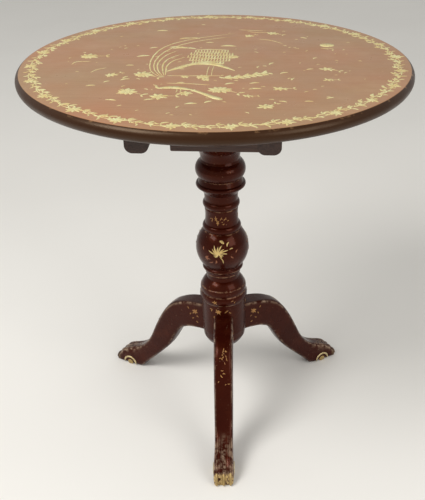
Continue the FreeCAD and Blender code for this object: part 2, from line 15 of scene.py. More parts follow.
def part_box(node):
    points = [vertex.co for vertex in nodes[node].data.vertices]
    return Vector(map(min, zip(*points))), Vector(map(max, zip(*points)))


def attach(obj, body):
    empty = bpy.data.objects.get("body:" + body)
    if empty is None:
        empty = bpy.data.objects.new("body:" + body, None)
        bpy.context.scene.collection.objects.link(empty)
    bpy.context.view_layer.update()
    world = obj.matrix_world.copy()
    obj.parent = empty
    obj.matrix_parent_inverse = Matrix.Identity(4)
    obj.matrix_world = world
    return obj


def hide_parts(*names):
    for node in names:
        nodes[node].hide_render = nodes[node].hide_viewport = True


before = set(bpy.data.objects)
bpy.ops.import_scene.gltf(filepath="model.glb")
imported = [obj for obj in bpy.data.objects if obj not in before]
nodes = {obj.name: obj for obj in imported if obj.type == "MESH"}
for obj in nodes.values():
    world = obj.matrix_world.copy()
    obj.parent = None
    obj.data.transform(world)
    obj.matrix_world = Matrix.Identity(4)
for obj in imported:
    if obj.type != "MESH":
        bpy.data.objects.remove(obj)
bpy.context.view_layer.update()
TOP_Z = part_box("table_top")[1].z
TOP_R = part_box("table_top")[1].x
HUB_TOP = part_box("leg_front")[1].z
LEG_TURN = math.radians(3.3)
print(len(nodes), "pieces; the top is", round(TOP_Z, 4), "m high")
print("and", round(2 * TOP_R, 4), "m across")

# %% [markdown]
# ## A way to make closed surfaces
# Legs, claws, petals and stems are all the same kind of thing: a ring of points carried
# along a path. A spin or a skin modifier could make one of them at a time. Here whole
# arrays of rings become one mesh at once, which is quick for hundreds of petals and
# leaves every end closed.


# %% Rings to mesh
def closed_tubes(name, rings, body, material):
    """rings[n, k, m] is point m of ring k of tube n. Each ring joins the next with
    four-sided faces, and a flat face closes each end. The faces are turned outwards by
    the sign of the volume, the sum of a . (b x c) over the faces."""
    n, k, m, _ = rings.shape
    index = np.arange(n * k * m).reshape(n, k, m)
    a, b = index[:, :-1], index[:, 1:]
    quads = np.stack([a, np.roll(a, -1, 2), np.roll(b, -1, 2), b], -1).reshape(-1, 4)
    caps = np.concatenate([index[:, 0, ::-1], index[:, -1, :]])
    flat = rings - rings.mean(axis=(1, 2), keepdims=True)
    p = flat.reshape(-1, 3)
    q = [p[quads[:, i]] for i in range(4)]
    volume = (np.cross(q[0], q[1]) * q[2]).sum() + (np.cross(q[0], q[2]) * q[3]).sum()
    if volume < 0:
        quads, caps = quads[:, ::-1], caps[:, ::-1]
    mesh = bpy.data.meshes.new(name)
    mesh.vertices.add(n * k * m)
    mesh.vertices.foreach_set("co", rings.reshape(-1).astype(np.float32))
    loops = np.concatenate([quads.reshape(-1), caps.reshape(-1)]).astype(np.int32)
    sizes = np.concatenate([np.full(len(quads), 4), np.full(len(caps), m)])
    starts = np.concatenate([[0], np.cumsum(sizes)[:-1]]).astype(np.int32)
    mesh.loops.add(len(loops))
    mesh.loops.foreach_set("vertex_index", loops)
    mesh.polygons.add(len(sizes))
    mesh.polygons.foreach_set("loop_start", starts)
    mesh.polygons.foreach_set("use_smooth", np.ones(len(sizes), bool))
    mesh.update(calc_edges=True)
    mesh.validate()
    obj = bpy.data.objects.new(name, mesh)
    bpy.context.scene.collection.objects.link(obj)
    obj.data.materials.append(material)
    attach(obj, body)
    print(name, "has", len(sizes), "faces in", n, "closed shapes")
    return obj


def smooth_path(points, count):
    """Carries a smooth line through the given points: between two of them it is the cubic
    that leaves each along the line from its neighbour before to its neighbour after."""
    p = np.asarray(points, float)
    p = np.concatenate([2 * p[:1] - p[1:2], p, 2 * p[-1:] - p[-2:-1]])
    t = np.linspace(0, len(p) - 3 - 1e-9, count)
    i = t.astype(int) + 1
    f = (t - t.astype(int))[:, None]
    p0, p1, p2, p3 = p[i - 1], p[i], p[i + 1], p[i + 2]
    return 0.5 * (
        2 * p1 + (p2 - p0) * f + (2 * p0 - 5 * p1 + 4 * p2 - p3) * f ** 2
        + (3 * p1 - p0 - 3 * p2 + p3) * f ** 3
    )


# %% [markdown]
# ## Finishes
# Old lacquer is a coloured coat under a clear gloss one. Its colour wanders slowly, it
# has a fine grain of dust and brush marks, and it has rubbed through on the high places.
# Each finish below is a Principled shader with its colour, roughness and bump worked out
# from the place on the piece, so it stays put when the table moves.


# %% Small helpers for shader nodes
class Finish:
    """One material and short ways to add the nodes it needs."""

    def __init__(self, name):
        self.material = bpy.data.materials.new(name)
        self.material.use_nodes = True
        self.tree = self.material.node_tree
        self.shader = self.tree.nodes["Principled BSDF"]
        self.place = self.node("ShaderNodeTexCoord").outputs["Object"]

    def node(self, kind, **settings):
        made = self.tree.nodes.new(kind)
        for key, value in settings.items():
            setattr(made, key, value)
        return made

    def join(self, out, into):
        self.tree.links.new(out, into)

    def stretched(self, scale):
        """The place on the piece, stretched by a factor along each axis."""
        made = self.node("ShaderNodeMapping")
        made.inputs["Scale"].default_value = scale
        self.join(self.place, made.inputs["Vector"])
        return made.outputs["Vector"]

    def noise(self, scale, detail=4.0, rough=0.55, at=None, low=0.3, high=0.7):
        """Cloudy values, spread so that low becomes 0 and high becomes 1."""
        made = self.node("ShaderNodeTexNoise")
        made.inputs["Scale"].default_value = scale
        made.inputs["Detail"].default_value = detail
        made.inputs["Roughness"].default_value = rough
        self.join(at or self.place, made.inputs["Vector"])
        return self.spread(made.outputs["Fac"], low, high)

    def spread(self, value, low, high, to_low=0.0, to_high=1.0):
        made = self.node("ShaderNodeMapRange")
        made.inputs["From Min"].default_value = low
        made.inputs["From Max"].default_value = high
        made.inputs["To Min"].default_value = to_low
        made.inputs["To Max"].default_value = to_high
        self.join(value, made.inputs["Value"])
        return made.outputs["Result"]

    def maths(self, kind, a, b=None):
        made = self.node("ShaderNodeMath", operation=kind)
        for socket, value in zip(made.inputs, (a, b)):
            if value is None:
                continue
            if isinstance(value, (int, float)):
                socket.default_value = value
            else:
                self.join(value, socket)
        return made.outputs["Value"]

    def mix(self, factor, a, b):
        """Colour a where factor is 0 and colour b where it is 1."""
        made = self.node("ShaderNodeMix", data_type="RGBA")
        self.join(factor, made.inputs["Factor"])
        colours = [s for s in made.inputs if s.type == "RGBA"]
        for socket, value in zip(colours, (a, b)):
            if isinstance(value, tuple):
                socket.default_value = (*value, 1.0)
            else:
                self.join(value, socket)
        return [s for s in made.outputs if s.type == "RGBA"][0]

    def parts(self):
        made = self.node("ShaderNodeSeparateXYZ")
        self.join(self.place, made.inputs["Vector"])
        return made.outputs["X"], made.outputs["Y"], made.outputs["Z"]

    def bump(self, height, depth, distance=0.001):
        made = self.node("ShaderNodeBump")
        made.inputs["Strength"].default_value = depth
        made.inputs["Distance"].default_value = distance
        self.join(height, made.inputs["Height"])
        self.join(made.outputs["Normal"], self.shader.inputs["Normal"])

    def gloss(self, coat=0.0, coat_rough=0.1, metal=0.0, rough=None, level=0.5, tint=(1, 1, 1)):
        self.shader.inputs["Specular IOR Level"].default_value = level
        self.shader.inputs["Specular Tint"].default_value = (*tint, 1.0)
        self.shader.inputs["Coat Weight"].default_value = coat
        self.shader.inputs["Coat Roughness"].default_value = coat_rough
        self.shader.inputs["Metallic"].default_value = metal
        if rough is not None:
            self.shader.inputs["Roughness"].default_value = rough

    def colour(self, out):
        self.join(out, self.shader.inputs["Base Color"])

    def roughness(self, out):
        self.join(out, self.shader.inputs["Roughness"])


# %% [markdown]
# ### The top's lacquer
# The face of the top has faded to a warm red brown and keeps a soft shine; its rim and
# underside stayed nearly black brown. Height tells the two apart, because the face is
# the only part of the board at its full height.

# %% Lacquer of the top
FACE_RED = (0.395, 0.186, 0.095)
FACE_BROWN = (0.350, 0.212, 0.113)
FACE_FADED = (0.46, 0.30, 0.165)
DARK_LACQUER = (0.030, 0.0100, 0.0038)
RUBBED = (0.22, 0.12, 0.055)
GRAIN = (0.25, 0.115, 0.058)
SPECK = (0.62, 0.44, 0.26)

top = Finish("top_lacquer")
x, y, z = top.parts()
cloud = top.noise(4.2, 3.0, low=0.34, high=0.66)
fade = top.noise(11.0, 5.0, low=0.5, high=0.78)
face = top.mix(cloud, FACE_RED, FACE_BROWN)
face = top.mix(top.maths("MULTIPLY", fade, 0.45), face, FACE_FADED)
grain = top.noise(26.0, 5.0, at=top.stretched((0.5, 9.0, 1.0)), low=0.42, high=0.72)
face = top.mix(top.maths("MULTIPLY", grain, 0.25), face, GRAIN)
specks = top.noise(240.0, 2.0, low=0.70, high=0.76)
face = top.mix(top.maths("MULTIPLY", specks, 0.5), face, SPECK)
edge_wear = top.noise(60.0, 5.0, low=0.56, high=0.66)
near_edge = top.spread(z, TOP_Z - 0.0035, TOP_Z - 0.0012)
worn_rim = top.maths("MULTIPLY", edge_wear, top.maths("MULTIPLY", near_edge, 0.8))
rim = top.mix(worn_rim, DARK_LACQUER, RUBBED)
on_face = top.spread(z, TOP_Z - 0.0007, TOP_Z - 0.0002)
top.colour(top.mix(on_face, rim, face))
top.roughness(top.spread(top.noise(18.0, 6.0), 0.0, 1.0, 0.26, 0.42))
# The warm specular tint is a painted reflection colour: the face reflects warm surroundings that
# the scene lacks.
top.gloss(coat=0.06, coat_rough=0.16, level=0.30, tint=(1.0, 0.72, 0.45))
top.bump(top.noise(150.0, 3.0), 0.10, 0.0006)
print("the top's face, rim and wear are mixed by height")

# %% [markdown]
# ### Dark lacquer of the column and legs
# Here the coat is glossier and almost black red. It is worn pale along the crests of the
# turned rings and along the corners of the legs. On the column a crest is a known height;
# on a leg the carving itself stores how sharp each place is, in an attribute. On the upper
# side of each paw that attribute also holds a painted highlight along the hair ridges.

# %% Dark lacquer
DEEP_RED = (0.019, 0.0018, 0.0008)
WARM_RED = (0.031, 0.0040, 0.0016)
OLD_BROWN = (0.055, 0.011, 0.004)
CHIP = (0.38, 0.25, 0.15)
RING_CRESTS = [0.2425, 0.2595, 0.2735, 0.3015, 0.3122, 0.3945, 0.4412, 0.4835, 0.5030]


def dark_lacquer(name, crests=(), attribute=None, rub_and_highlight=(0.25, 0.145, 0.085)):
    f = Finish(name)
    _, _, high = f.parts()
    warm = f.noise(9.0, 4.0)
    colour = f.mix(warm, DEEP_RED, WARM_RED)
    brown = f.noise(34.0, 6.0, low=0.52, high=0.75)
    colour = f.mix(f.maths("MULTIPLY", brown, 0.5), colour, OLD_BROWN)
    wear = None
    for crest in crests:
        away = f.maths("ABSOLUTE", f.maths("SUBTRACT", high, crest))
        band = f.spread(away, 0.0004, 0.0016, 1.0, 0.0)
        wear = band if wear is None else f.maths("MAXIMUM", wear, band)
    if attribute:
        read = f.node("ShaderNodeAttribute", attribute_name=attribute)
        wear = read.outputs["Fac"]
    if wear is not None:
        rubbed = f.noise(95.0, 6.0, rough=0.7, low=0.44, high=0.58)
        wear = f.maths("MULTIPLY", wear, rubbed)
        # On the legs this pale mix is worn lacquer and, on the paws, a painted highlight.
        colour = f.mix(f.maths("MULTIPLY", wear, 0.75), colour, rub_and_highlight)
    chips = f.noise(310.0, 2.0, low=0.735, high=0.755)
    colour = f.mix(f.maths("MULTIPLY", chips, 0.8), colour, CHIP)
    f.colour(colour)
    f.roughness(f.spread(f.noise(28.0, 6.0), 0.0, 1.0, 0.17, 0.36))
    # The red specular tint is a painted reflection: the coat reflects red surroundings that the
    # scene does not have.
    f.gloss(coat=0.11, coat_rough=0.04, level=0.24, tint=(1.0, 0.24, 0.10))
    f.bump(f.noise(120.0, 4.0), 0.18, 0.0008)
    return f


stem_lacquer = dark_lacquer("stem_lacquer", crests=RING_CRESTS)
plain_lacquer = dark_lacquer("plain_lacquer")
print("dark lacquer with", len(RING_CRESTS), "worn crests on the column")

# %% [markdown]
# ### Gilding
# The flowers are powdered gold over lacquer: a soft metal, thin in places, so some of
# the brown shows through. The scrolls on the feet are thicker leaf, the front claws and
# the bosses are a darker, blotchier gold, and the claws of the other two feet keep only traces.

# %% Gold


def gilding(name, bright, dull, thin, metal, rough_low, rough_high):
    f = Finish(name)
    colour = f.mix(f.noise(60.0, 4.0), bright, dull)
    worn = f.noise(190.0, 5.0, rough=0.65, low=0.56, high=0.68)
    colour = f.mix(f.maths("MULTIPLY", worn, thin), colour, (0.16, 0.075, 0.04))
    f.colour(colour)
    f.roughness(f.spread(f.noise(140.0, 4.0), 0.0, 1.0, rough_low, rough_high))
    f.gloss(metal=metal)
    f.bump(f.noise(420.0, 3.0), 0.25, 0.0004)
    return f.material


TOP_GOLD = (0.757, 0.727, 0.384)
gold_on_top = gilding("gold_on_top", TOP_GOLD, (0.66, 0.50, 0.20), 0.6, 0.2, 0.36, 0.55)
gold_on_stem = gilding("gold_on_stem", (0.80, 0.62, 0.26), (0.56, 0.38, 0.13), 0.6, 0.4, 0.3, 0.5)
gold_faded = gilding("gold_faded", (0.48, 0.25, 0.07), (0.26, 0.11, 0.035), 0.8, 0.35, 0.35, 0.55)
gold_red = gilding("gold_red", (0.34, 0.12, 0.05), (0.22, 0.08, 0.04), 0.6, 0.35, 0.35, 0.5)
gold_leaf = gilding("gold_leaf", (0.78, 0.66, 0.38), (0.50, 0.38, 0.18), 0.7, 0.55, 0.26, 0.45)
gold_darker = gilding("gold_darker", (0.52, 0.38, 0.15), (0.26, 0.16, 0.06), 0.85, 0.55, 0.3, 0.5)
gold_traces = gilding("gold_traces", (0.16, 0.09, 0.045), (0.035, 0.012, 0.007), 0.7, 0.3, 0.3, 0.5)
print("seven kinds of gilding")

# %% [markdown]
# ### Wood, brass and iron
# What the top hides is plain stained wood. The grain is noise stretched along the piece,
# so each direction of board needs its own stretch. Brass has yellow to brown blotches,
# and iron has a dull skin with rust in it.

# %% Hidden wood and metal


def wood(name, light, dark, stretch, rough=0.5):
    f = Finish(name)
    fibres = f.noise(38.0, 6.0, rough=0.62, at=f.stretched(stretch), low=0.32, high=0.7)
    rings = f.noise(6.0, 3.0, at=f.stretched(stretch), low=0.35, high=0.65)
    colour = f.mix(fibres, dark, light)
    colour = f.mix(f.maths("MULTIPLY", rings, 0.5), colour, dark)
    pores = f.noise(260.0, 3.0, at=f.stretched(stretch), low=0.62, high=0.7)
    colour = f.mix(f.maths("MULTIPLY", pores, 0.6), colour, (0.012, 0.006, 0.004))
    f.colour(colour)
    f.roughness(f.spread(fibres, 0.0, 1.0, rough + 0.12, rough - 0.06))
    f.bump(fibres, 0.3, 0.0006)
    return f.material


def metal(name, clean, tarnish, low, high, depth=0.15):
    f = Finish(name)
    blotch = f.noise(75.0, 6.0, rough=0.65, low=0.4, high=0.66)
    f.colour(f.mix(blotch, clean, tarnish))
    f.roughness(f.spread(blotch, 0.0, 1.0, low, high))
    f.gloss(metal=1.0)
    f.bump(f.noise(300.0, 5.0), depth, 0.0004)
    return f.material


bearer_wood = wood("bearer_wood", (0.060, 0.024, 0.014), (0.024, 0.009, 0.006), (9.0, 0.6, 9.0))
CAGE_LIGHT, CAGE_DARK = (0.085, 0.034, 0.019), (0.030, 0.011, 0.007)
cage_wood = wood("cage_wood", CAGE_LIGHT, CAGE_DARK, (0.6, 9.0, 9.0))
pillar_wood = wood("pillar_wood", CAGE_LIGHT, CAGE_DARK, (9.0, 9.0, 0.6), 0.4)
key_wood = wood("key_wood", (0.36, 0.21, 0.10), (0.20, 0.105, 0.045), (9.0, 0.6, 9.0))
brass = metal("aged_brass", (0.72, 0.50, 0.20), (0.30, 0.18, 0.07), 0.22, 0.5)
iron = metal("dull_iron", (0.22, 0.205, 0.19), (0.12, 0.055, 0.03), 0.4, 0.7, 0.3)

FINISHES = {
    "table_top": top.material,
    "column": stem_lacquer.material,
    "pendant_drop": plain_lacquer.material,
    "bearer_left": bearer_wood,
    "bearer_right": bearer_wood,
    "cage_upper_plate": cage_wood,
    "cage_lower_plate": cage_wood,
    "cage_collar": cage_wood,
    "wedge_key": key_wood,
    "pivot_pin_left": iron,
    "pivot_pin_right": iron,
    "bearer_screws": iron,
}
for name, obj in nodes.items():
    finish = FINISHES.get(name)
    if name.startswith("cage_pillar"):
        finish = pillar_wood
    if finish is None:
        finish = brass
    obj.data.materials.clear()
    obj.data.materials.append(finish)
print("every solid piece has its finish")

# %% [markdown]
# ## The carved legs
# Each leg is one plank sawn to a double curve, rounded, and carved into a paw. A box
# with a subdivision modifier would lose the knuckles. Instead a rounded square is
# carried down the leg between its top line and its under line; near the foot its upper
# side is lifted and sunk into toes and hair.

# %% The leg's two side lines, in metres from the axis and from the floor
TOP_LINE = [
    (0.036, 0.216), (0.046, 0.2158), (0.060, 0.2140), (0.080, 0.2104), (0.100, 0.2040),
    (0.118, 0.1940), (0.133, 0.1785), (0.145, 0.1605), (0.156, 0.1400), (0.166, 0.1185),
    (0.177, 0.0935), (0.188, 0.0750), (0.201, 0.0605), (0.216, 0.0505), (0.230, 0.0440),
    (0.243, 0.0380), (0.2545, 0.0310), (0.2635, 0.0210), (0.2690, 0.0110), (0.2715, 0.0035),
]
UNDER_LINE = [
    (0.036, 0.156), (0.046, 0.1560), (0.058, 0.1545), (0.074, 0.1510), (0.088, 0.1440),
    (0.098, 0.1360), (0.107, 0.1240), (0.115, 0.1095), (0.123, 0.0950), (0.132, 0.0810),
    (0.143, 0.0680), (0.157, 0.0530), (0.173, 0.0365), (0.190, 0.0190), (0.2055, 0.0025),
    (0.220, 0.0), (0.236, 0.0), (0.250, 0.0), (0.261, 0.0), (0.2695, 0.0),
]
HALF_WIDTH = [
    0.0186, 0.0186, 0.0186, 0.0186, 0.0185, 0.0184, 0.0183, 0.0182, 0.0181, 0.0180,
    0.0178, 0.0175, 0.0173, 0.0173, 0.0178, 0.0184, 0.0188, 0.0188, 0.0182, 0.0165,
]
RINGS, AROUND = 150, 96
over = smooth_path(TOP_LINE, RINGS)
under = smooth_path(UNDER_LINE, RINGS)
under[:, 1] = np.maximum(under[:, 1], 0.0)
wide = smooth_path([(w, 0) for w in HALF_WIDTH], RINGS)[:, 0]
print("the leg reaches", round(over[:, 0].max(), 4), "m from the axis")


# %% Carve one leg
def leg_surface():
    """The ring at each step is a rounded square: across = w |cos a|^p and up = h |sin a|^p,
    with their signs, and p under 1. At the root p is smallest, so the leg is squarest
    there. Towards the foot the upper side moves along its own direction by two deep
    grooves between three toes and by fine waves for the hair."""
    a = np.linspace(0, 2 * np.pi, AROUND, endpoint=False)
    power = (2 / (5.0 + 9.0 * np.clip((0.105 - over[:, 0]) / 0.05, 0, 1)))[:, None]
    side = np.sign(np.cos(a)) * np.abs(np.cos(a)) ** power
    rise = np.sign(np.sin(a)) * np.abs(np.sin(a)) ** power
    middle, half = (over + under) / 2, (over - under) / 2
    foot = np.clip((over[:, 0] - 0.196) / 0.040, 0, 1)[:, None]
    toe = np.clip((over[:, 0] - 0.232) / 0.024, 0, 1)[:, None]
    upper = np.clip((rise - 0.1) / 0.6, 0, 1)
    gap = np.exp(-(((np.abs(side) - 0.36) / 0.085) ** 2))
    hair = 0.5 - 0.5 * np.cos(side * 2 * np.pi * 4.5)
    sink = foot * upper * (0.0011 * hair) + upper * gap * (0.0010 * foot + 0.0028 * toe)
    knuckle = 0.0012 * toe * upper * np.cos(side * np.pi * 2.8) ** 2
    lift = knuckle - sink
    long = np.linalg.norm(half, axis=1, keepdims=True)
    along = half / long
    x = middle[:, :1] + half[:, :1] * rise + along[:, :1] * lift
    z = middle[:, 1:] + half[:, 1:] * rise + along[:, 1:] * lift
    y = wide[:, None] * side
    edge = np.exp(-(((np.abs(side) - 0.92) / 0.09) ** 2 + ((np.abs(rise) - 0.92) / 0.09) ** 2))
    # Worn corners, plus a painted highlight that pales the hair ridges on the paw's upper side as
    # if lit.
    wear = np.clip(edge + foot * upper * (0.15 + 0.95 * (1 - gap) * (1 - hair)), 0, 1)
    gilt = np.clip((x - 0.2600) / 0.004, 0, 1) * np.clip((0.0215 - z) / 0.004, 0, 1)
    return np.stack([x, y, np.maximum(z, 0.0)], -1), wear * np.ones_like(x), gilt


def leg_angle(degrees):
    """All three legs stand a little turned against the board."""
    return math.radians(degrees) + LEG_TURN


def turned(points, angle):
    """Turns points about the column's axis."""
    c, s = math.cos(angle), math.sin(angle)
    x, y, z = points[..., 0], points[..., 1], points[..., 2]
    return np.stack([x * c - y * s, x * s + y * c, z], -1)


# The legs rub to a paler colour than the column: worn lacquer, and on the paws a painted highlight.
leg_lacquer = dark_lacquer("leg_lacquer", attribute="wear", rub_and_highlight=(0.40, 0.29, 0.20))
read = leg_lacquer.node("ShaderNodeAttribute", attribute_name="gilt")
patch = leg_lacquer.noise(230.0, 4.0, low=0.42, high=0.56)
amount = leg_lacquer.maths("MULTIPLY", read.outputs["Fac"], patch)
dark = leg_lacquer.shader.inputs["Base Color"].links[0].from_socket
leg_lacquer.colour(leg_lacquer.mix(amount, dark, (0.58, 0.42, 0.18)))

LEGS = {"front": -90.0, "right": 30.0, "left": 150.0}
GILT_LEFT = {"front": 1.0, "right": 0.15, "left": 0.15}
shape, wear, gilt = leg_surface()
for name, degrees in LEGS.items():
    placed = turned(shape, leg_angle(degrees))[None]
    leg = closed_tubes(f"carved_leg_{name}", placed, "base", leg_lacquer.material)
    for label, values in (("wear", wear), ("gilt", gilt * GILT_LEFT[name])):
        layer = leg.data.attributes.new(label, "FLOAT", "POINT")
        layer.data.foreach_set("value", values.reshape(-1).astype(np.float32))
    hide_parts(f"leg_{name}")

# %% [markdown]
# ## Claws and scrolls of the feet
# Three claws curl down over the end of each paw, gilt on the front foot and nearly bare
# on the others, and a gilt half ring with a boss inside it is carved on each cheek. A
# claw is a round tube that thins to its tip; the half ring is a tube carried round an
# arc; both are set a little into the wood.


# %% Claws, rings and bosses
def tube_along(path, radii, around=14, flat=1.0):
    """Circles of the given radii stand across a path that stays in one upright plane, so
    one direction of each circle is always sideways, and it may be flattened."""
    step = np.gradient(path, axis=0)
    step /= np.linalg.norm(step, axis=1, keepdims=True)
    sideways = np.array([0.0, 1.0, 0.0])
    up = np.cross(step, sideways)
    a = np.linspace(0, 2 * np.pi, around, endpoint=False)
    ring = np.cos(a)[None, :, None] * sideways * flat + np.sin(a)[None, :, None] * up[:, None]
    return path[:, None] + ring * np.asarray(radii)[:, None, None]


CLAW_LINE = [
    (0.2590, 0.0232), (0.2652, 0.0180), (0.2700, 0.0115), (0.2722, 0.0052), (0.2724, 0.0011),
]
CLAW_STEPS, CLAW_GAP = 18, 0.0128
line = smooth_path(CLAW_LINE, CLAW_STEPS)
shares = np.linspace(0, 1, CLAW_STEPS)
claw_radii = np.interp(shares, [0, 0.3, 0.8, 1], [0.0012, 0.0028, 0.0027, 0.0010])
claws = []
for across in (-CLAW_GAP, 0.0, CLAW_GAP):
    path = np.stack([line[:, 0], np.full(CLAW_STEPS, across), line[:, 1]], -1)
    claws.append(tube_along(path, claw_radii))
claws = np.array(claws)
claws[..., 2] = np.maximum(claws[..., 2], 0.0003)

SCROLL_X, SCROLL_R, SCROLL_STEPS = 0.236, 0.0148, 40
BOSS_STEPS, BOSS_AROUND = 12, 28
half_rings, bosses = [], []
for cheek in (-1, 1):
    a = np.linspace(math.radians(-8), math.radians(188), SCROLL_STEPS)
    y = cheek * 0.0182
    ring_x, ring_z = SCROLL_X + SCROLL_R * np.cos(a), 0.0032 + SCROLL_R * np.sin(a)
    path = np.stack([ring_x, np.full(SCROLL_STEPS, y), ring_z], -1)
    thick = 0.0022 * np.clip(np.sin(np.linspace(0.12, np.pi - 0.12, SCROLL_STEPS)) * 1.6, 0, 1)
    half_rings.append(tube_along(path, thick, flat=0.8))
    t = np.linspace(0, 1, BOSS_STEPS)
    around = np.linspace(0, 2 * np.pi, BOSS_AROUND, endpoint=False)
    r = 0.0074 * np.sin(t * np.pi / 2)[::-1][:, None]
    out = y + cheek * (0.0024 * np.sqrt(1 - (r / 0.0075) ** 2) - 0.0010)
    boss_x, boss_z = SCROLL_X + r * np.cos(around), 0.0052 + r * np.sin(around)
    bosses.append(np.stack([boss_x, out * np.ones((1, BOSS_AROUND)), boss_z], -1))
half_rings, bosses = np.array(half_rings), np.array(bosses)
half_rings[..., 2] = np.maximum(half_rings[..., 2], 0.0004)
bosses[..., 2] = np.maximum(bosses[..., 2], 0.0004)
for name, degrees in LEGS.items():
    claw_gold = gold_darker if name == "front" else gold_traces
    carved = (
        ("claws", claws, claw_gold),
        ("scrolls", half_rings, gold_leaf),
        ("bosses", bosses, gold_darker),
    )
    for label, rings, gold in carved:
        made = closed_tubes(f"{label}_{name}", turned(rings, leg_angle(degrees)), "base", gold)

# %% [markdown]
# ## Gilt flowers
# Every leaf, petal and stem is one brush stroke: a line with a width that swells and
# dies away. A stroke is laid on a surface as a thin lens, a fifth of a millimetre proud.
# Painting them into a texture would be flat; as shapes they catch the light at their
# edges as raised lacquer does. Sizes here are in millimetres on the surface.

# %% Brush strokes
STEPS, LENS = 13, 6
T = np.linspace(0, 1, STEPS)


def stroke(points, width, blunt=0.8):
    """A line through points whose half-width is width times sin(pi t) to a power."""
    line = smooth_path(points, STEPS)
    return line, width * np.sin(np.pi * np.clip(T, 0.012, 0.988)) ** blunt


def leaf(x, y, degrees, length, width, bend=0.15):
    """A stroke from x, y in one direction, bowed to its left by bend times its length."""
    a = math.radians(degrees)
    d, n = np.array([math.cos(a), math.sin(a)]), np.array([-math.sin(a), math.cos(a)])
    base = np.array([x, y], float)
    return stroke([base, base + d * length * 0.5 + n * length * bend, base + d * length], width)


def leaves_at(rows, fat):
    """One leaf for each row of place, direction and size."""
    return [leaf(x, y, a, size, size * fat) for x, y, a, size in rows]


def flower(x, y, radius, petals, start=0.0, fat=0.26):
    """Petals round a centre. The cosine only makes their lengths uneven."""
    made = []
    for i in range(petals):
        a = start + 360.0 * i / petals
        made.append(leaf(x, y, a, radius * (0.85 + 0.15 * math.cos(3 * a)), radius * fat, 0.06))
    return made


def spray(x, y, degrees, length, leaves, size):
    """A stem with leaves in pairs along it."""
    a = math.radians(degrees)
    d = np.array([math.cos(a), math.sin(a)])
    made = [leaf(x, y, degrees, length, 0.7, 0.08)]
    for i in range(leaves):
        p = np.array([x, y]) + d * length * (0.2 + 0.75 * i / max(leaves - 1, 1))
        made.append(leaf(p[0], p[1], degrees + 48, size, size * 0.24))
        made.append(leaf(p[0], p[1], degrees - 52, size * 0.9, size * 0.22, -0.15))
    return made


def disc(x, y, radius):
    """A round blot: one stroke across it, as wide at each step as the circle is there."""
    line = smooth_path([(x - radius, y), (x, y), (x + radius, y)], STEPS)
    return line, radius * np.sqrt(np.clip(1 - (2 * T - 1) ** 2, 0.01, 1))


def lay_on(name, strokes, place, body, material, thick=0.22):
    """Each stroke becomes a lens: points go across by width times cos a and stand up by
    thick times sin a, and place() carries that flat picture onto the surface."""
    line = np.array([s[0] for s in strokes])
    half = np.array([s[1] for s in strokes])
    step = np.gradient(line, axis=1)
    step /= np.linalg.norm(step, axis=2, keepdims=True) + 1e-9
    normal = np.stack([-step[..., 1], step[..., 0]], -1)
    a = np.linspace(0, 2 * np.pi, LENS, endpoint=False) + np.pi / LENS
    flat = line[:, :, None] + normal[:, :, None] * (half[:, :, None] * np.cos(a))[..., None]
    thinned = np.clip(half / 0.6, 0.25, 1)[:, :, None]
    lift = thick * np.clip(np.sin(a), -0.35, 1)[None, None] * thinned
    made = closed_tubes(name, place(flat[..., 0], flat[..., 1], lift), body, material)
    return made


def on_table(u, v, lift):
    """Millimetres across the board to metres in the frame, lift above its face."""
    return np.stack([u, v, TOP_Z * 1000 + lift], -1) / 1000


def in_picture(u, v, lift):
    """The picture is set 2 mm right and 7 mm forward of the middle, a touch smaller."""
    return on_table(u * 0.975 + 2, v * 0.975 - 7, lift)


# %% [markdown]
# ### The border
# A wavy stem runs round the top just inside the rim, with star flowers and pairs of
# leaves hung on it. It is drawn in polar form and repeats round the board, but each
# repeat is turned and sized a little differently by a seeded random number.

# %% Garland round the rim
rng = np.random.default_rng(7)
GARLAND_R = 314.0
REPEATS = 24
garland = []
for i in range(REPEATS):
    start = 360.0 / REPEATS * i
    arc = np.radians(start + np.linspace(0, 360.0 / REPEATS, 5))
    r = GARLAND_R + 3.5 * np.sin(np.linspace(0, 2 * np.pi, 5))
    points = np.stack([r * np.cos(arc), r * np.sin(arc)], -1)
    garland.append((smooth_path(points, STEPS), np.full(STEPS, 1.0)))
    for j, (share, offset) in enumerate(((0.12, 5), (0.3, -6), (0.52, 4), (0.7, -5), (0.88, 6))):
        a = math.radians(start + 360.0 / REPEATS * share)
        out = GARLAND_R + offset * 0.5
        cx, cy = out * math.cos(a), out * math.sin(a)
        face = math.degrees(a) + 90
        if j == 2:
            size = 14.0 + rng.uniform(-1.8, 1.8)
            garland += flower(cx, cy, size, 8, rng.uniform(0, 60), 0.2)
            continue
        for way in (-1, 1):
            for length, tilt in ((rng.uniform(11, 16), 30), (rng.uniform(9, 14), -55)):
                lean = tilt + rng.uniform(-15, 15)
                turn = face + 90 * (way < 0) + way * lean
                garland.append(leaf(cx, cy, turn, length, length * 0.17, 0.18))
    a = math.radians(start + rng.uniform(-2, 2))
    cx, cy = GARLAND_R * math.cos(a), GARLAND_R * math.sin(a)
    garland.append(leaf(cx, cy, math.degrees(a) + rng.uniform(60, 120), 13, 2.6))
lay_on("gilt_border", garland, on_table, "top", gold_on_top)
